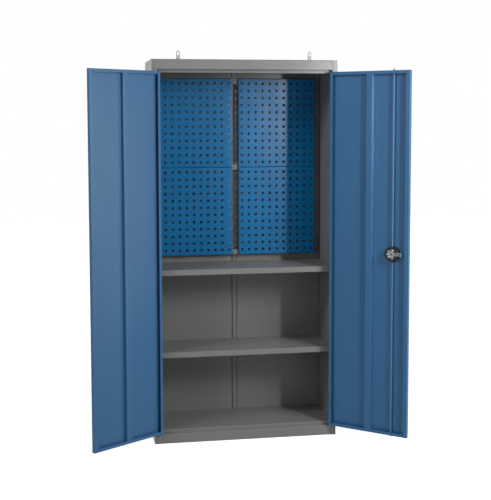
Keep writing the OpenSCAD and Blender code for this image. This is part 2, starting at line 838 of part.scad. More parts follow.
lower_rod();
lower_rod_fork();
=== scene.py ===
# %% [markdown]
# # A steel tool cabinet with two doors
# A workshop cabinet is folded from thin sheet steel, spot welded, and then powder coated.
# Nearly every edge that catches light on it is a fold, so this lesson models sheets as open
# surfaces, rounds their folds and gives them their thickness at the end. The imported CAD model
# is the frame: it says where each sheet lies, and which body each piece moves with.

import math

import bmesh
import bpy
from mathutils import Matrix, Vector


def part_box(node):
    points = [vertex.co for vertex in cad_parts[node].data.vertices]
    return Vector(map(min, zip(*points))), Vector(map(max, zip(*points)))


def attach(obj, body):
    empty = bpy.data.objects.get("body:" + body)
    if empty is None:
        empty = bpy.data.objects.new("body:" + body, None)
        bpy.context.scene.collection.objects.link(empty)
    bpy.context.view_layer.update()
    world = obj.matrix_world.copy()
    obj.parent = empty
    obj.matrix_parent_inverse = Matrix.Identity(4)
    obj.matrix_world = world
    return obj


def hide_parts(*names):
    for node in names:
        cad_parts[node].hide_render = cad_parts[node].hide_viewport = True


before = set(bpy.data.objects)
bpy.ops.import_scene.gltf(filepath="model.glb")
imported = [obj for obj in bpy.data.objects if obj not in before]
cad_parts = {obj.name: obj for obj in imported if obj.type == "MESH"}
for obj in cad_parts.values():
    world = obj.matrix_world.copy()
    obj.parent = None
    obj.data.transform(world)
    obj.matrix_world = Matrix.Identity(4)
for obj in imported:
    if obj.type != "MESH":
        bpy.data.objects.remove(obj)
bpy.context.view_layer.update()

# %% [markdown]
# ## The camera
# The photograph was taken from a little to the left of the cabinet, at eye height and from
# over five metres away, tilted down by five degrees. A long lens keeps the posts nearly
# upright. The frame's middle lies lower than the lens axis, so a small vertical shift is
# added: tilting further would do the same, but would make the posts lean.

# %% Camera
FRONT_Y = -0.185
PHOTO_WIDTH, PHOTO_HEIGHT = 491, 500
FOCAL_PX = 1071.52
AXIS_ROW = 212.92
SENSOR_MM = 36.0
YAW, TILT, ROLL = 0.1797, 0.0876, 0.0019
CAMERA_PLACE = (-0.9739, FRONT_Y - 5.3389, 1.6534)

camera_data = bpy.data.cameras.new("camera")
camera_data.sensor_fit = "HORIZONTAL"
camera_data.sensor_width = SENSOR_MM
camera_data.lens = FOCAL_PX / PHOTO_WIDTH * SENSOR_MM
camera_data.shift_y = -(PHOTO_HEIGHT / 2 - AXIS_ROW) / PHOTO_WIDTH
camera = bpy.data.objects.new("camera", camera_data)
bpy.context.scene.collection.objects.link(camera)
turn = Matrix.Rotation(-YAW, 4, "Z") @ Matrix.Rotation(math.pi / 2 - TILT, 4, "X")
camera.matrix_world = (
    Matrix.Translation(CAMERA_PLACE) @ turn @ Matrix.Rotation(-ROLL, 4, "Z")
)
bpy.context.scene.camera = camera
print("the lens is", round(camera_data.lens, 1), "mm long")

# %% [markdown]
# ## Light and surroundings
# The studio is white, but only camera, mirror and glass rays see it so; what lights the
# cabinet is a much dimmer sky and a few lamps. A narrow strip lamp and a softbox stand close
# by on the right, and the edge of the opening draws their upright shadow on the back. A broad
# low lamp at the side gives the open left door its haze. Two lamps on the left, one high and
# one low, light the right door and the inner right wall, and throw the dark line beside the
# rods. The sheen lamp adds gloss and no matt light, which could also be had from a glossier
# paint, but that would mirror the white room all over.

# %% World, lamps and floor
scene = bpy.context.scene
scene.view_settings.view_transform = "Standard"


def add_node(tree, kind, inputs=None, **settings):
    """Adds a node, sets its options, and fills its sockets with values or links."""
    made = tree.nodes.new(kind)
    for key, value in settings.items():
        setattr(made, key, value)
    for socket, value in (inputs or {}).items():
        if isinstance(value, bpy.types.NodeSocket):
            tree.links.new(value, made.inputs[socket])
        else:
            made.inputs[socket].default_value = value
    return made


def linear(hex_colour):
    """The linear RGBA value of an sRGB colour such as '#4a78a8'."""
    parts = [int(hex_colour[i : i + 2], 16) / 255 for i in (1, 3, 5)]
    return tuple(
        p / 12.92 if p <= 0.04045 else ((p + 0.055) / 1.055) ** 2.4 for p in parts
    ) + (1.0,)


def seen_as_white(tree):
    """Is 1 for camera, transmission and glossy rays, and 0 for the rays of matt light."""
    ray = add_node(tree, "ShaderNodeLightPath")
    through = add_node(
        tree,
        "ShaderNodeMath",
        {0: ray.outputs["Is Camera Ray"], 1: ray.outputs["Is Transmission Ray"]},
        operation="MAXIMUM",
    )
    seen = add_node(
        tree,
        "ShaderNodeMath",
        {0: through.outputs[0], 1: ray.outputs["Is Glossy Ray"]},
        operation="MAXIMUM",
    )
    return seen.outputs[0]


SKY_FILL = 0.19
world = bpy.data.worlds.new("white_studio")
scene.world = world
world.use_nodes = True
sky = world.node_tree
sky.nodes.clear()
fill = add_node(sky, "ShaderNodeBackground", {"Color": (1, 1, 1, 1), "Strength": SKY_FILL})
white = add_node(sky, "ShaderNodeBackground", {"Color": (1, 1, 1, 1), "Strength": 1.0})
either = add_node(
    sky,
    "ShaderNodeMixShader",
    {0: seen_as_white(sky), 1: fill.outputs[0], 2: white.outputs[0]},
)
add_node(sky, "ShaderNodeOutputWorld", {"Surface": either.outputs[0]})


def area_lamp(name, place, target, size, power):
    """A soft lamp of a width and height in metres that points at a place."""
    data = bpy.data.lights.new(name, "AREA")
    data.shape = "RECTANGLE"
    data.size, data.size_y = size
    data.energy = power
    lamp = bpy.data.objects.new(name, data)
    aim = Vector(target) - Vector(place)
    lamp.rotation_euler = aim.to_track_quat("-Z", "Y").to_euler()
    lamp.location = place
    scene.collection.objects.link(lamp)
    return lamp


strip_lamp = area_lamp("strip_lamp", (1.44, -2.37, 2.15), (0.1, FRONT_Y, 1.6), (0.12, 0.8), 30)
right_softbox = area_lamp(
    "right_softbox", (1.98, -2.45, 2.45), (0.1, FRONT_Y, 0.9), (0.9, 1.8), 36
)
# With the gloss of these two, part of the roof would show pure white from behind and be lost
# against the white sky, so they give matt light alone.
strip_lamp.visible_glossy = False
right_softbox.visible_glossy = False
area_lamp("side_lamp", (3.3, -1.4, 0.8), (-0.7, -0.35, 0.45), (1.1, 2.1), 31)
area_lamp("left_lamp", (-2.9, -1.9, 3.6), (0.6, FRONT_Y, 1.0), (0.8, 1.2), 54)
area_lamp("low_left_lamp", (-2.7, -2.55, 1.4), (0.5, FRONT_Y, 0.7), (0.5, 1.4), 14)
# This one does the reverse: it shows in gloss alone, as the sheen on a tool panel.
sheen_lamp = area_lamp("sheen_lamp", (1.44, -2.38, 1.74), (0.1, FRONT_Y, 1.7), (0.12, 0.36), 190)
sheen_lamp.visible_diffuse = False

floor_mesh = bpy.data.meshes.new("studio_floor")
floor_bm = bmesh.new()
bmesh.ops.create_grid(floor_bm, x_segments=2, y_segments=2, size=12)
floor_bm.to_mesh(floor_mesh)
floor_bm.free()
studio_floor = bpy.data.objects.new("studio_floor", floor_mesh)
scene.collection.objects.link(studio_floor)

floor_paint = bpy.data.materials.new("matt white studio floor")
floor_paint.use_nodes = True
floor_tree = floor_paint.node_tree
floor_tree.nodes.clear()
floor_diffuse = add_node(
    floor_tree, "ShaderNodeBsdfDiffuse", {"Color": linear("#c0c0c0")}
)
# The floor's own white grows with the distance from the cabinet, so it meets the white sky
# without a line and still shows the shadow near by.
floor_place = add_node(floor_tree, "ShaderNodeTexCoord").outputs["Object"]
floor_reach = add_node(
    floor_tree, "ShaderNodeVectorMath", {0: floor_place}, operation="LENGTH"
)
floor_white = add_node(
    floor_tree,
    "ShaderNodeMapRange",
    {
        "Value": floor_reach.outputs["Value"],
        "From Min": 0.8,
        "From Max": 3.0,
        "To Min": 0.84,
        "To Max": 1.0,
    },
)
floor_glow = add_node(
    floor_tree, "ShaderNodeEmission", {"Strength": floor_white.outputs["Result"]}
)
floor_camera = add_node(
    floor_tree,
    "ShaderNodeMixShader",
    {0: seen_as_white(floor_tree), 2: floor_glow.outputs[0]},
)
floor_sum = add_node(
    floor_tree,
    "ShaderNodeAddShader",
    {0: floor_diffuse.outputs[0], 1: floor_camera.outputs[0]},
)
add_node(floor_tree, "ShaderNodeOutputMaterial", {"Surface": floor_sum.outputs[0]})
floor_mesh.materials.append(floor_paint)

# %% [markdown]
# ## Powder coat
# The paint is a polyester powder that melts in the oven into an even satin film. It gives
# the eye three things: a soft sheen, a fine orange-peel relief, and on big thin sheets a
# slow waviness from the welds. The peel of the real film is about 1.5 mm wide, too fine to
# show at this distance, so it is drawn 4 mm wide and very low.

# %% Powder coat
PEEL_MM = 4.0
WAVE_MM = 260.0


def powder_coat(name, hex_colour, roughness, shine, tint=0.05, wave=0.6):
    """A satin powder coat with an orange peel, slow waves and a slight drift of tone."""
    material = bpy.data.materials.new(name)
    material.use_nodes = True
    tree = material.node_tree
    tree.nodes.clear()
    place = add_node(tree, "ShaderNodeTexCoord").outputs["Object"]
    drift = add_node(
        tree, "ShaderNodeTexNoise", {"Vector": place, "Scale": 3.0, "Detail": 3.0}
    )
    base = linear(hex_colour)
    low = tuple(c * (1 - tint) for c in base[:3]) + (1.0,)
    high = tuple(min(1.0, c * (1 + tint)) for c in base[:3]) + (1.0,)
    colour = add_node(
        tree,
        "ShaderNodeMix",
        {"Factor": drift.outputs["Fac"], "A": low, "B": high},
        data_type="RGBA",
    )
    # A Mix node keeps its colour sockets after those of its other types.
    colour.inputs[6].default_value = low
    colour.inputs[7].default_value = high
    gloss = add_node(
        tree, "ShaderNodeTexNoise", {"Vector": place, "Scale": 18.0, "Detail": 4.0}
    )
    sheen = add_node(
        tree,
        "ShaderNodeMapRange",
        {"Value": gloss.outputs["Fac"], "To Min": roughness - 0.04, "To Max": roughness + 0.04},
    )
    peel = add_node(
        tree,
        "ShaderNodeTexNoise",
        {"Vector": place, "Scale": 1000.0 / PEEL_MM, "Detail": 2.0},
    )
    waves = add_node(
        tree,
        "ShaderNodeTexNoise",
        {"Vector": place, "Scale": 1000.0 / WAVE_MM, "Detail": 1.0},
    )
    slow = add_node(
        tree,
        "ShaderNodeBump",
        {"Height": waves.outputs["Fac"], "Strength": wave, "Distance": 0.004},
    )
    fine = add_node(
        tree,
        "ShaderNodeBump",
        {
            "Height": peel.outputs["Fac"],
            "Strength": 0.12,
            "Distance": 0.0004,
            "Normal": slow.outputs["Normal"],
        },
    )
    paint = add_node(
        tree,
        "ShaderNodeBsdfPrincipled",
        {
            "Base Color": colour.outputs[2],
            "Roughness": sheen.outputs["Result"],
            "IOR": 1.5,
            "Specular IOR Level": shine,
            "Normal": fine.outputs["Normal"],
        },
    )
    add_node(tree, "ShaderNodeOutputMaterial", {"Surface": paint.outputs["BSDF"]})
    return material


grey_coat = powder_coat("grey satin powder coat on sheet steel", "#7d7c7b", 0.29, 0.15)
door_coat = powder_coat("mid blue satin powder coat on sheet steel", "#35658f", 0.36, 0.2)
panel_coat = powder_coat("bright blue powder coat on perforated steel", "#00689f", 0.28, 0.13)
print("powder coats:", [c.name for c in (grey_coat, door_coat, panel_coat)])

# %% [markdown]
# ## Zinc plate, black plastic and nylon
# The shelf clips and the lock's metal are steel with bright zinc: a cool grey metal whose
# crystals break up the shine a little. Hinges and rods are a dull zinc grey whose blue tint is
# painted reflection of the blue doors, and the eyelets a matt zinc flake. Both could be rough
# metals too, but as such the rods take a white line from the lamps, so these two finishes use
# the paint's shader. The lock's body is black moulded plastic with a spark-eroded grain, and
# the rod guides are nylon.

# %% Metal and plastic
def zinc_plate(name, hex_colour, roughness):
    """Bright zinc on steel, with the slight cloudiness of the bath."""
    material = bpy.data.materials.new(name)
    material.use_nodes = True
    tree = material.node_tree
    tree.nodes.clear()
    place = add_node(tree, "ShaderNodeTexCoord").outputs["Object"]
    cloud = add_node(
        tree, "ShaderNodeTexNoise", {"Vector": place, "Scale": 160.0, "Detail": 5.0}
    )
    sheen = add_node(
        tree,
        "ShaderNodeMapRange",
        {"Value": cloud.outputs["Fac"], "To Min": roughness - 0.1, "To Max": roughness + 0.1},
    )
    relief = add_node(
        tree,
        "ShaderNodeBump",
        {"Height": cloud.outputs["Fac"], "Strength": 0.15, "Distance": 0.0003},
    )
    metal = add_node(
        tree,
        "ShaderNodeBsdfPrincipled",
        {
            "Base Color": linear(hex_colour),
            "Metallic": 1.0,
            "Roughness": sheen.outputs["Result"],
            "Normal": relief.outputs["Normal"],
        },
    )
    add_node(tree, "ShaderNodeOutputMaterial", {"Surface": metal.outputs["BSDF"]})
    return material


def moulded_plastic(name, hex_colour, roughness, grain_mm):
    """A moulded plastic with the grain of its tool."""
    material = bpy.data.materials.new(name)
    material.use_nodes = True
    tree = material.node_tree
    tree.nodes.clear()
    place = add_node(tree, "ShaderNodeTexCoord").outputs["Object"]
    grain = add_node(
        tree,
        "ShaderNodeTexNoise",
        {"Vector": place, "Scale": 1000.0 / grain_mm, "Detail": 3.0},
    )
    relief = add_node(
        tree,
        "ShaderNodeBump",
        {"Height": grain.outputs["Fac"], "Strength": 0.25, "Distance": 0.0003},
    )
    sheen = add_node(
        tree,
        "ShaderNodeMapRange",
        {"Value": grain.outputs["Fac"], "To Min": roughness - 0.06, "To Max": roughness + 0.06},
    )
    plastic = add_node(
        tree,
        "ShaderNodeBsdfPrincipled",
        {
            "Base Color": linear(hex_colour),
            "Roughness": sheen.outputs["Result"],
            "IOR": 1.5,
            "Specular IOR Level": 0.2,
            "Normal": relief.outputs["Normal"],
        },
    )
    add_node(tree, "ShaderNodeOutputMaterial", {"Surface": plastic.outputs["BSDF"]})
    return material


zinc = zinc_plate("bright zinc-plated steel", "#979b9f", 0.36)
# A matt grey zinc coat whose blue tint is painted reflection of the blue doors; it hardly
# mirrors the room.
zinc_with_painted_door_blue = powder_coat("dull zinc with painted reflection of the blue doors", "#567ba0", 0.55, 0.1)
# The lock's zinc is drawn in a darker grey than the bright zinc.
lock_zinc = zinc_plate("darker zinc on stamped steel", "#5f6468", 0.34)
# Zinc flakes in a binder give a matt, pale grey skin that hardly mirrors the room.
zinc_flake = powder_coat("matt zinc flake coat on stamped steel", "#a9adb0", 0.5, 0.12)
black_plastic = moulded_plastic("black grained polyamide", "#191a1c", 0.38, 1.2)
nylon = moulded_plastic("dark nylon", "#2a2b2d", 0.5, 1.6)
print("finishes so far:", len(bpy.data.materials))

# %% [markdown]
# ## Three tools for sheet metal
# A folded sheet starts as a line of points, its profile, which is swept along one axis and
# has its folds rounded. A tray starts as a box without one side. Both are open surfaces in
# millimetres; `finish` turns them into a piece in metres, thickens the sheet inwards with
# Solidify, softens the cut edges with a small Bevel, and makes the piece ride on its body.

# %% Sheet-metal tools
MM = 0.001
CARCASS_SHEET = 1.2
DOOR_SHEET = 1.0
FOLD = 2.2


def swept(profile, along, start, end, fold=FOLD):
    """A folded strip: the profile's points swept along an axis, with round folds."""
    spot = {
        "X": lambda p: (start, p[0], p[1]),
        "Y": lambda p: (p[0], start, p[1]),
        "Z": lambda p: (p[0], p[1], start),
    }[along]
    step = {"X": (1, 0, 0), "Y": (0, 1, 0), "Z": (0, 0, 1)}[along]
    bm = bmesh.new()
    line = [bm.verts.new(spot(p)) for p in profile]
    edges = [bm.edges.new(pair) for pair in zip(line, line[1:])]
    made = bmesh.ops.extrude_edge_only(bm, edges=edges)["geom"]
    far = [v for v in made if isinstance(v, bmesh.types.BMVert)]
    bmesh.ops.translate(bm, verts=far, vec=Vector(step) * (end - start))
    round_folds(bm, fold)
    return bm


def round_folds(bm, fold):
    """Bevels every fold of an open sheet."""
    bm.normal_update()
    folds = [
        e
        for e in bm.edges
        if len(e.link_faces) == 2 and e.calc_face_angle(0) > math.radians(30)
    ]
    bmesh.ops.bevel(
        bm,
        geom=folds,
        offset=fold,
        offset_type="OFFSET",
        segments=3,
        profile=0.5,
        affect="EDGES",
        clamp_overlap=True,
        material=-1,
    )


def box_without(low, high, side):
    """A box whose one side is left out: side is an axis index and a sign, such as (1, 1)."""
    bm = bmesh.new()
    bmesh.ops.create_cube(bm, size=1.0)
    size = Vector(high) - Vector(low)
    bmesh.ops.scale(bm, vec=size, verts=bm.verts)
    bmesh.ops.translate(bm, vec=(Vector(low) + Vector(high)) / 2, verts=bm.verts)
    axis, sign = side
    bm.normal_update()
    gone = [f for f in bm.faces if f.normal[axis] * sign > 0.9]
    bmesh.ops.delete(bm, geom=gone, context="FACES")
    return bm


def rim_edges(bm, test):
    """Edges of one face only whose middle passes a test."""
    return [
        e
        for e in bm.edges
        if len(e.link_faces) == 1 and test((e.verts[0].co + e.verts[1].co) / 2)
    ]


def split(bm, faces, spot, normal):
    """Cuts some faces of a sheet along a plane."""
    geom = set(faces)
    for f in faces:
        geom.update(f.edges)
        geom.update(f.verts)
    bmesh.ops.bisect_plane(bm, geom=list(geom), plane_co=spot, plane_no=normal)


def folded_out(bm, edges, move, draw_in=(0, 0, 0)):
    """Extrudes rim edges into a flange, whose outer corners are drawn in along one axis."""
    made = bmesh.ops.extrude_edge_only(bm, edges=edges)["geom"]
    verts = [v for v in made if isinstance(v, bmesh.types.BMVert)]
    bmesh.ops.translate(bm, verts=verts, vec=move)
    draw_in = Vector(draw_in)
    if draw_in.length > 0:
        axis = max(range(3), key=lambda i: abs(draw_in[i]))
        low = min(v.co[axis] for v in verts)
        high = max(v.co[axis] for v in verts)
        for v in verts:
            if abs(v.co[axis] - low) < 1e-4:
                v.co[axis] += draw_in[axis]
            elif abs(v.co[axis] - high) < 1e-4:
                v.co[axis] -= draw_in[axis]
    return made


def finish(
    bm,
    name,
    body,
    slot,
    material,
    replaces=(),
    sheet=0.0,
    edge=0.25,
    place=None,
    cuts=None,
    segments=2,
):
    """Turns a bmesh in millimetres into a piece that rides on a body."""
    if place is not None:
        bmesh.ops.transform(bm, matrix=place, verts=bm.verts)
        if place.determinant() < 0:
            bmesh.ops.reverse_faces(bm, faces=bm.faces)
    bmesh.ops.scale(bm, vec=(MM, MM, MM), verts=bm.verts)
    mesh = bpy.data.meshes.new(name)
    bm.to_mesh(mesh)
    bm.free()
    mesh.materials.append(material)
    piece = bpy.data.objects.new(name, mesh)
    scene.collection.objects.link(piece)
    if sheet:
        wall = piece.modifiers.new("thickness", "SOLIDIFY")
        wall.thickness = sheet * MM
        wall.offset = -1
        wall.use_even_offset = True
    if cuts is not None:
        cut = piece.modifiers.new("cuts", "BOOLEAN")
        cut.operation = "DIFFERENCE"
        cut.solver = "EXACT"
        cut.object = cuts
        apply_modifiers(piece)
        bpy.data.objects.remove(cuts)
    if edge:
        soft = piece.modifiers.new("soft edges", "BEVEL")
        soft.width = edge * MM
        soft.segments = segments
        soft.limit_method = "ANGLE"
        soft.angle_limit = math.radians(50)
        soft.miter_outer = "MITER_ARC"
    piece.data.shade_smooth()
    even = piece.modifiers.new("even shading", "WEIGHTED_NORMAL")
    even.keep_sharp = True
    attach(piece, body)
    if replaces:
        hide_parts(*replaces)
    return piece


def apply_modifiers(piece):
    """Replaces a piece's mesh by what its modifiers make of it."""
    view = bpy.context.evaluated_depsgraph_get()
    made = bpy.data.meshes.new_from_object(piece.evaluated_get(view))
    piece.modifiers.clear()
    old = piece.data
    piece.data = made
    bpy.data.meshes.remove(old)


def cutter(cylinders, place=None):
    """An object of upright cylinders, or of cylinders along a placed frame's depth."""
    bm = bmesh.new()
    for centre, radius, height in cylinders:
        spot = Matrix.Translation(centre)
        if place is not None:
            spot = place @ spot @ Matrix.Rotation(math.pi / 2, 4, "X")
        bmesh.ops.create_cone(
            bm,
            cap_ends=True,
            segments=32,
            radius1=radius,
            radius2=radius,
            depth=height,
            matrix=spot,
        )
    bmesh.ops.recalc_face_normals(bm, faces=bm.faces)
    bmesh.ops.scale(bm, vec=(MM, MM, MM), verts=bm.verts)
    mesh = bpy.data.meshes.new("cutter")
    bm.to_mesh(mesh)
    bm.free()
    made = bpy.data.objects.new("cutter", mesh)
    scene.collection.objects.link(made)
    return made


def softened(node, body, slot, material, edge=0.3, segments=2, shape=None, cuts=None):
    """A copy of a CAD node with its edges rounded, which stands for the node."""
    bm = bmesh.new()
    bm.from_mesh(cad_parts[node].data)
    bmesh.ops.remove_doubles(bm, verts=bm.verts, dist=1e-6)
    bmesh.ops.dissolve_limit(
        bm, angle_limit=math.radians(1), verts=bm.verts, edges=bm.edges
    )
    bmesh.ops.scale(bm, vec=(1 / MM,) * 3, verts=bm.verts)
    if shape is not None:
        shape(bm)
    return finish(
        bm,
        f"{node}_finished",
        body,
        slot,
        material,
        [node],
        edge=edge,
        segments=segments,
        cuts=cuts,
    )


def carcass_sheet(bm, name, node, **more):
    """A folded sheet of the carcass, in its grey coat, which stands for a CAD node."""
    return finish(
        bm, name, "root", "carcass_paint", grey_coat, [node], sheet=CARCASS_SHEET, **more
    )


# %% [markdown]
# ## Turned and repeated details
# Screws and washers are turned or headed parts. Half a section, a few points of radius and
# height, is spun once round, and merging its doubles closes the poles. What occurs many
# times, such as a screw or a spot weld, is made once and copied to its places in one mesh.


# %% Turned and repeated pieces
def turned(section, segments=24):
    """A solid of revolution about +Y from points of a radius and a height in mm."""
    bm = bmesh.new()
    line = [bm.verts.new((radius, height, 0)) for radius, height in section]
    edges = [bm.edges.new(pair) for pair in zip(line, line[1:])]
    bmesh.ops.spin(
        bm,
        geom=line + edges,
        cent=(0, 0, 0),
        axis=(0, 1, 0),
        angle=2 * math.pi,
        steps=segments,
        use_merge=True,
    )
    bmesh.ops.remove_doubles(bm, verts=bm.verts, dist=1e-4)
    bmesh.ops.recalc_face_normals(bm, faces=bm.faces)
    return bm


def repeated(bm, places):
    """Copies a shape to each place, and takes the first one away."""
    first = bm.verts[:] + bm.edges[:] + bm.faces[:]
    first_verts = bm.verts[:]
    for place in places:
        made = bmesh.ops.duplicate(bm, geom=first)["geom"]
        verts = [v for v in made if isinstance(v, bmesh.types.BMVert)]
        bmesh.ops.transform(bm, matrix=place, verts=verts)
    bmesh.ops.delete(bm, geom=first_verts, context="VERTS")
    bmesh.ops.recalc_face_normals(bm, faces=bm.faces)
    return bm


# %% [markdown]
# ## The carcass
# Each side wall is one sheet: it turns round the front into a closed post, and round the
# back into a narrow flange. The lintel and the plinth are C-shaped strips welded between
# the posts. Sweeping each one's real profile gives every fold in one go.

# %% Side walls with their posts
CABINET_W, CABINET_D, CABINET_H = 950.0, 370.0, 1950.0
HALF_W = CABINET_W / 2
FRONT = -CABINET_D / 2
BACK = CABINET_D / 2
POST_W, POST_D = 28.0, 30.0
OPENING = HALF_W - POST_W
INNER = HALF_W - CARCASS_SHEET
STOP_Y = FRONT + 24.0
TRAY_Y = BACK - 8.0
LINTEL_Z = CABINET_H - 50.0
PLINTH_Z = 50.0
HINGE_X = OPENING - 2.0
HINGE_Z = (174.0, 1763.0)
NOTCH_H = 44.2
NOTCH_R = 5.3

mirror_x = Matrix.Diagonal((-1, 1, 1, 1))

for side, place in (("left", None), ("right", mirror_x)):
    wall = swept(
        [
            (-HALF_W + 20, BACK),
            (-HALF_W, BACK),
            (-HALF_W, FRONT),
            (-OPENING, FRONT),
            (-OPENING, FRONT + POST_D),
            (-INNER + 3, FRONT + POST_D),
        ],
        "Z",
        0,
        CABINET_H,
    )
    wall.normal_update()
    outward = max(wall.faces, key=lambda f: f.calc_area())
    if outward.normal.x > 0:
        bmesh.ops.reverse_faces(wall, faces=wall.faces)
    sign = -1 if side == "left" else 1
    notches = cutter(
        [((sign * HINGE_X, FRONT, z), NOTCH_R, NOTCH_H) for z in HINGE_Z]
    )
    carcass_sheet(wall, f"side_wall_{side}", f"side_panel_{side}", place=place, cuts=notches)
print("the carcass is", CABINET_W, "x", CABINET_D, "x", CABINET_H, "mm")

# %% [markdown]
# The lintel's lower flange and the plinth's upper flange each have a clearance hole for a
# lock rod, which a Boolean cuts through the finished sheet.

# %% Lintel, plinth and door stop
ROD_X, ROD_Y = 92.0, FRONT + 12.0
ROD_HOLE_R, ROD_HOLE_CUT = 5.0, 12.0


def outward_from(bm, inside):
    """Turns an open sheet so that its faces look away from a point inside it."""
    bm.normal_update()
    big = max(bm.faces, key=lambda f: f.calc_area())
    if (big.calc_center_median() - Vector(inside)).dot(big.normal) < 0:
        bmesh.ops.reverse_faces(bm, faces=bm.faces)
    return bm


lintel = swept(
    [
        (STOP_Y, LINTEL_Z + 16),
        (STOP_Y, LINTEL_Z),
        (FRONT, LINTEL_Z),
        (FRONT, CABINET_H - CARCASS_SHEET),
        (STOP_Y, CABINET_H - CARCASS_SHEET),
    ],
    "X",
    -OPENING,
    OPENING,
)
carcass_sheet(
    outward_from(lintel, (0, FRONT + 10, LINTEL_Z + 25)),
    "lintel_folded",
    "lintel",
    cuts=cutter([((ROD_X, ROD_Y, LINTEL_Z), ROD_HOLE_R, ROD_HOLE_CUT)]),
)

plinth = swept(
    [(STOP_Y, 0), (FRONT, 0), (FRONT, PLINTH_Z), (STOP_Y, PLINTH_Z)],
    "X",
    -OPENING,
    OPENING,
)
carcass_sheet(
    outward_from(plinth, (0, FRONT + 10, PLINTH_Z / 2)),
    "plinth_folded",
    "plinth_front",
    cuts=cutter([((ROD_X, ROD_Y, PLINTH_Z), ROD_HOLE_R, ROD_HOLE_CUT)]),
)
for node in ("plinth_rear", "door_stop_strip", "roof_panel"):
    softened(node, "root", "carcass_paint", grey_coat, edge=0.4)
print("the rods' holes are", 2 * ROD_HOLE_R, "mm wide")

# %% [markdown]
# The back is two shallow trays, open to the rear, with a hat-shaped strip between them.

# %% Back trays and centre strip
TRAY_FOLD = 4.5
for side in ("left", "right"):
    low, high = (Vector(c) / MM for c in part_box(f"back_tray_{side}"))
    tray = box_without(low, high, (1, 1))
    round_folds(tray, TRAY_FOLD)
    carcass_sheet(tray, f"back_tray_{side}_folded", f"back_tray_{side}")
    print(f"the {side} tray is", round(high.x - low.x, 1), "mm wide")

STRIP_X, STRIP_FOOT_X = 11.0, 30.0
strip_rear = BACK - CARCASS_SHEET
strip_low, strip_high = (Vector(c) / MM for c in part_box("back_strip"))
strip = swept(
    [
        (-STRIP_FOOT_X, strip_rear),
        (-STRIP_X, strip_rear),
        (-STRIP_X, TRAY_Y),
        (STRIP_X, TRAY_Y),
        (STRIP_X, strip_rear),
        (STRIP_FOOT_X, strip_rear),
    ],
    "Z",
    strip_low.z,
    strip_high.z,
    fold=1.5,
)
carcass_sheet(outward_from(strip, (0, BACK + 5, 1000)), "back_strip_folded", "back_strip")

# %% [markdown]
# ## Deck and shelves
# A shelf is a tray turned upside down. Its front lip is turned in once more at the bottom,
# which keeps the edge stiff and safe to the hand.

# %% Deck and shelves
SHELF_REAR, SHELF_LIP = 20, 14
for node in ("shelf_middle", "shelf_upper"):
    low, high = (Vector(c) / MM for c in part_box(node))
    shelf = box_without(low, high, (2, -1))
    rear = [f for f in shelf.faces if f.normal.y > 0.9]
    bmesh.ops.delete(shelf, geom=rear, context="FACES")
    top_rear = rim_edges(shelf, lambda m: abs(m.y - high.y) < 1 and abs(m.z - high.z) < 1)
    folded_out(shelf, top_rear, (0, 0, -SHELF_REAR), (1.5, 0, 0))
    front_rim = rim_edges(shelf, lambda m: abs(m.y - low.y) < 1 and abs(m.z - low.z) < 1)
    folded_out(shelf, front_rim, (0, SHELF_LIP, 0), (4, 0, 0))
    round_folds(shelf, FOLD)
    carcass_sheet(shelf, f"{node}_folded", node)
    print(node, "is", round(high.x - low.x, 1), "x", round(high.y - low.y, 1), "mm")

low, high = (Vector(c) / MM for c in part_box("base_deck"))
WIDE_Y = FRONT + POST_D + 0.5
deck = box_without((low.x, WIDE_Y, low.z), high, (2, -1))
for x in (-OPENING, OPENING):
    bmesh.ops.bisect_plane(
        deck,
        geom=deck.verts[:] + deck.edges[:] + deck.faces[:],
        plane_co=(x, 0, 0),
        plane_no=(1, 0, 0),
    )
deck.normal_update()
front_wall = [
    f
    for f in deck.faces
    if f.normal.y < -0.9 and abs(f.calc_center_median().x) < OPENING
]
bmesh.ops.delete(deck, geom=front_wall, context="FACES")
mouth = rim_edges(deck, lambda m: abs(m.y - WIDE_Y) < 0.1 and abs(m.z - high.z) < 0.1)
folded_out(deck, mouth, (0, low.y - WIDE_Y, 0))
nose = rim_edges(deck, lambda m: abs(m.y - low.y) < 0.1 and abs(m.z - high.z) < 0.1)
folded_out(deck, nose, (0, 0, low.z - high.z))
round_folds(deck, 1.8)
carcass_sheet(deck, "base_deck_folded", "base_deck")
for node in ("shelf_clips_middle", "shelf_clips_upper"):
    softened(node, "root", "zinc", zinc)

# %% [markdown]
# ## Tool panels
# Each panel is punched with square holes before its edges are folded back. Cutting a plane
# along both sides of every row and column and deleting the squares between gives the holes.

# %% Tool panels
PITCH, HOLE = 38.0, 13.0
COLUMNS, ROWS = 11, 12
SIDE_MARGIN, END_MARGIN = 17.8, 25.5

for level in ("upper", "lower"):
    for side in ("left", "right"):
        node = f"peg_panel_{level}_{side}"
        low, high = (Vector(c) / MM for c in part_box(node))
        panel = box_without(low, high, (1, 1))
        panel.normal_update()
        for count, first, axis in (
            (COLUMNS, low.x + SIDE_MARGIN, 0),
            (ROWS, low.z + END_MARGIN, 2),
        ):
            for index in range(count):
                for half in (-HOLE / 2, HOLE / 2):
                    spot = Vector((0, low.y, 0))
                    spot[axis] = first + index * PITCH + half
                    normal = Vector((0, 0, 0))
                    normal[axis] = 1
                    face = [f for f in panel.faces if abs(f.normal.y) > 0.9]
                    split(panel, face, spot, normal)
        holes = []
        for f in panel.faces:
            if abs(f.normal.y) < 0.9:
                continue
            centre = f.calc_center_median()
            column = (centre.x - low.x - SIDE_MARGIN) / PITCH
            row = (centre.z - low.z - END_MARGIN) / PITCH
            near = HOLE / 2 / PITCH
            if abs(column - round(column)) < near and abs(row - round(row)) < near:
                if 0 <= round(column) < COLUMNS and 0 <= round(row) < ROWS:
                    holes.append(f)
        bmesh.ops.delete(panel, geom=holes, context="FACES")
        round_folds(panel, FOLD)
        finish(
            panel,
            f"{node}_punched",
            "root",
            "panel_paint",
            panel_coat,
            [node],
            sheet=CARCASS_SHEET,
            edge=0.3,
        )
        print(node, "has", len(holes), "holes")

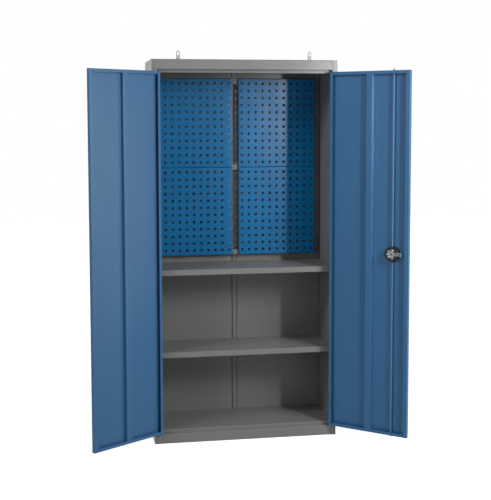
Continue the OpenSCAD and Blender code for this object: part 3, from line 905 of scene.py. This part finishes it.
RAIL_SEAT, RAIL_FOOT = 14.0, 22.4
for node in ("panel_rail_top", "panel_rail_middle", "panel_rail_bottom"):
    low, high = (Vector(c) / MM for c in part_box(node))
    middle = (low.z + high.z) / 2
    foot = high.y - CARCASS_SHEET
    rail = swept(
        [
            (foot, middle - RAIL_FOOT),
            (foot, middle - RAIL_SEAT),
            (low.y, middle - RAIL_SEAT),
            (low.y, middle + RAIL_SEAT),
            (foot, middle + RAIL_SEAT),
            (foot, middle + RAIL_FOOT),
        ],
        "X",
        low.x,
        high.x,
        fold=1.5,
    )
    carcass_sheet(outward_from(rail, (0, high.y + 5, middle)), f"{node}_folded", node)
softened("panel_rail_bolts", "root", "carcass_paint", grey_coat, edge=0.5)

# %% [markdown]
# ## Fixing eyelets
# Stamped from 3 mm plate and bolted through the roof. Their edges are tumbled, so they get
# a wider bevel than the sheets.

# %% Eyelets
for node in ("eyelet_left", "eyelet_right"):
    softened(node, "root", "zinc", zinc_flake, edge=0.7)
for node in ("eyelet_bolts", "eyelet_nuts"):
    softened(node, "root", "zinc", zinc_flake, edge=0.4)

# %% [markdown]
# ## Doors
# A door is a pan: a skin with four walls, whose rims are turned in again as lips. Both
# doors are built closed, in the right-hand drawing frame of the left one, and then swung
# about their hinge; the right one is mirrored as well.

# %% Door frames
DOOR_W = HINGE_X - 2.0
DOOR_D = 20.0
DOOR_LOW, DOOR_HIGH = PLINTH_Z + 6.0, LINTEL_Z - 10.0
LIP, FREE_LIP, SLIT = 16.0, 22.0, 1.5
OPEN_LEFT, OPEN_RIGHT = math.radians(143.75), math.radians(136.9)

at_hinge = Matrix.Translation((-HINGE_X, FRONT, 0))
door_place = {
    "left": at_hinge @ Matrix.Rotation(-OPEN_LEFT, 4, "Z"),
    "right": mirror_x @ at_hinge @ Matrix.Rotation(-OPEN_RIGHT, 4, "Z"),
}
door_body = {"left": "left_door", "right": "right_door"}
print("a door is", DOOR_W, "mm wide and", DOOR_HIGH - DOOR_LOW, "mm high")

# %% [markdown]
# The four lips are separate flanges of one blank, so a slit stays open at each corner. The
# rim of the open box is folded in edge by edge, and the short lips stop before the long ones.

# %% Door pans
def at_rim(m):
    """Whether a point of a door pan lies on its open side."""
    return abs(m.y - DOOR_D) < 0.1


def mid_width(m):
    """Whether a point of a door pan lies near the middle of its width."""
    return abs(m.x - DOOR_W / 2) < 10


for side in ("left", "right"):
    pan = box_without((0, 0, DOOR_LOW), (DOOR_W, DOOR_D, DOOR_HIGH), (1, 1))
    for x in (LIP + SLIT, DOOR_W - FREE_LIP - SLIT):
        ends = [f for f in pan.faces if abs(f.normal.z) > 0.9]
        split(pan, ends, (x, 0, 0), (1, 0, 0))
    top_rim = rim_edges(pan, lambda m: at_rim(m) and m.z > DOOR_HIGH - 1 and mid_width(m))
    low_rim = rim_edges(pan, lambda m: at_rim(m) and m.z < DOOR_LOW + 1 and mid_width(m))
    hinge_rim = rim_edges(pan, lambda m: at_rim(m) and m.x < 0.1)
    free_rim = rim_edges(pan, lambda m: at_rim(m) and m.x > DOOR_W - 0.1)
    folded_out(pan, top_rim, (0, 0, -LIP))
    folded_out(pan, low_rim, (0, 0, LIP))
    folded_out(pan, hinge_rim, (LIP, 0, 0), (0, 0, 3))
    folded_out(pan, free_rim, (-FREE_LIP, 0, 0), (0, 0, 3))
    round_folds(pan, 1.8)
    place = door_place[side]
    notches = cutter([(place @ Vector((0, 0, z)), NOTCH_R, NOTCH_H) for z in HINGE_Z])
    finish(
        pan,
        f"door_pan_{side}",
        door_body[side],
        "door_paint",
        door_coat,
        [f"door_{side}"],
        sheet=DOOR_SHEET,
        place=place,
        cuts=notches,
    )

# %% [markdown]
# A hat-shaped channel stiffens each skin from top to bottom and disappears under the lips.

# %% Door stiffeners
HAT, HAT_FOOT = 17.5, 34.5
for side in ("left", "right"):
    middle = DOOR_W / 2
    hat = swept(
        [
            (middle - HAT_FOOT, 2 * DOOR_SHEET),
            (middle - HAT, 2 * DOOR_SHEET),
            (middle - HAT, DOOR_D - DOOR_SHEET),
            (middle + HAT, DOOR_D - DOOR_SHEET),
            (middle + HAT, 2 * DOOR_SHEET),
            (middle + HAT_FOOT, 2 * DOOR_SHEET),
        ],
        "Z",
        DOOR_LOW + DOOR_SHEET,
        DOOR_HIGH - DOOR_SHEET,
        fold=2.6,
    )
    finish(
        outward_from(hat, (middle, -5, 1000)),
        f"door_stiffener_{side}_folded",
        door_body[side],
        "door_paint",
        door_coat,
        [f"door_stiffener_{side}"],
        sheet=DOOR_SHEET,
        place=door_place[side],
    )

# %% [markdown]
# Spot welds hold the channel's feet to the skin. The electrode leaves a shallow round mark,
# which the paint keeps. Each is a low turned disc, 6 mm across and a quarter of a
# millimetre proud, so that a grazing light finds it.

# %% Spot welds on the doors
WELD_STEP, WELD_END, WELD_X = 152.0, 60.0, 26.0
weld_rows = int((DOOR_HIGH - DOOR_LOW - 2 * WELD_END) // WELD_STEP) + 1
for side in ("left", "right"):
    welds = turned([(0, 0.25), (1.9, 0.25), (3.0, -0.2)], segments=12)
    spots = [
        Matrix.Translation(
            (DOOR_W / 2 + x, 2 * DOOR_SHEET, DOOR_LOW + WELD_END + row * WELD_STEP)
        )
        for x in (-WELD_X, WELD_X)
        for row in range(weld_rows)
    ]
    finish(
        repeated(welds, spots),
        f"door_spot_welds_{side}",
        door_body[side],
        "door_paint",
        door_coat,
        edge=0,
        place=door_place[side],
    )
    print(side, "door has", len(spots), "spot welds")

# %% [markdown]
# ## Hinges
# A post's leaf carries two knuckles and a door's leaf the one between them, with a washer at
# each side and a headed pin through all. Their shapes are right in the CAD model, so they
# only get the small round edges of stamped and turned steel.

# %% Hinges
for side in ("left", "right"):
    softened(f"post_hinge_leaves_{side}", "root", "zinc", zinc_with_painted_door_blue, edge=0.3)
    softened(f"hinge_pins_{side}", "root", "zinc", zinc_with_painted_door_blue, edge=0.4)
    softened(f"hinge_washers_{side}", "root", "zinc", zinc_with_painted_door_blue, edge=0.12)
    softened(
        f"door_hinge_leaves_{side}", door_body[side], "door_paint", door_coat, edge=0.3
    )
print("hinges at heights", HINGE_Z, "mm")

# %% [markdown]
# ## Lock
# A moulded housing on the inside holds the gear, and a stamped cam on its spindle turns with
# the handle: its tongue draws the doors shut while two rods slide into lintel and plinth.
# The housing's rim is rounded far more than its slots, as a moulding tool leaves it, so its
# rim edges are found by their radius and bevelled first. The cam gets punched holes, a
# washer and screws, and the rods are cold-drawn bar.

# %% Lock housing, plate and handle
LOCK_X, LOCK_Z = DOOR_W - 90.0, 980.0
HOUSING_R, HOUSING_FACE = 38.0, 24.0
lock_place = door_place["right"] @ Matrix.Translation((LOCK_X, 0, LOCK_Z))


def round_rim(bm):
    """Rounds the rim of the housing's inner face."""
    to_lock = lock_place.inverted()
    rim = []
    for e in bm.edges:
        ends = [to_lock @ v.co for v in e.verts]
        if all(
            abs(math.hypot(p.x, p.z) - HOUSING_R) < 0.3 and abs(p.y - HOUSING_FACE) < 0.2
            for p in ends
        ):
            rim.append(e)
    bmesh.ops.bevel(
        bm,
        geom=rim,
        offset=2.0,
        offset_type="OFFSET",
        segments=4,
        profile=0.5,
        affect="EDGES",
        clamp_overlap=True,
        material=-1,
    )
    print("the housing's rim has", len(rim), "edges")


softened(
    "lock_housing", "right_door", "lock_black", black_plastic, edge=0.5, shape=round_rim
)
softened("lock_outer_plate", "right_door", "lock_black", black_plastic, edge=1.2, segments=3)
softened("rod_bushes", "right_door", "bush_nylon", nylon, edge=0.3)
softened("lock_handle", "lock_cam_body", "lock_black", black_plastic, edge=2.0, segments=3)
softened("key_plug", "key_plug_body", "zinc", zinc, edge=0.3)

# %% [markdown]
# The cam is stamped from 3 mm plate, and its holes are punched with it. They are cut with a
# Boolean, like the rods' holes, and the screws' heads are one turned shape set round a ring.

# %% Cam with its holes, washer and screws
CAM_FACE, CAM_SHEET = HOUSING_FACE + 0.3, 3.0
HOLE_RING, SCREW_RING = 14.5, 19
CAM_HOLE_R, CAM_HOLE_CUT = 2.4, 8.0


def on_ring(radius, height, angles):
    """Places round the spindle, at angles in degrees and a height over the door's skin."""
    turns = [math.radians(a) for a in angles]
    return [(radius * math.cos(t), height, radius * math.sin(t)) for t in turns]


cam_holes = cutter(
    [
        (spot, CAM_HOLE_R, CAM_HOLE_CUT)
        for spot in on_ring(HOLE_RING, CAM_FACE + CAM_SHEET / 2, (105, 157, 203, 255))
    ],
    lock_place,
)
softened("lock_cam", "lock_cam_body", "zinc", lock_zinc, edge=0.4, cuts=cam_holes)
for node in ("lock_spindle", "lock_driver", "lock_cam_nut"):
    softened(node, "lock_cam_body", "zinc", lock_zinc, edge=0.4)

cam_washer = turned(
    [(9.2, 0), (13, 0), (13, 0.8), (12.5, 1.3), (9.2, 1.3), (9.2, 0)], segments=40
)
bmesh.ops.translate(cam_washer, vec=(0, CAM_FACE + CAM_SHEET, 0), verts=cam_washer.verts)
finish(
    cam_washer, "cam_washer", "lock_cam_body", "zinc", zinc, edge=0, place=lock_place
)
cam_screws = repeated(
    turned([(0, 0.9), (1.1, 0.9), (1.3, 1.9), (2.6, 1.7), (3.4, 0.8), (3.4, 0), (0, 0)]),
    [
        Matrix.Translation(spot)
        for spot in on_ring(SCREW_RING, CAM_FACE + CAM_SHEET, (75, 135, 180, 225, 285))
    ],
)
finish(cam_screws, "cam_screws", "lock_cam_body", "zinc", zinc, edge=0, place=lock_place)
print("the cam's face lies", CAM_FACE + CAM_SHEET, "mm behind the door's skin")

# %% [markdown]
# The rods are round drawn bar with a flat fork at the inner end. Their CAD shapes are right,
# so they only get small round edges, and each rides on a body of its own.

# %% Rods and forks
for rod in ("upper_rod", "lower_rod"):
    softened(rod, f"{rod}_body", "zinc", zinc_with_painted_door_blue, edge=0.3)
    softened(f"{rod}_fork", f"{rod}_body", "zinc", zinc_with_painted_door_blue, edge=0.3)
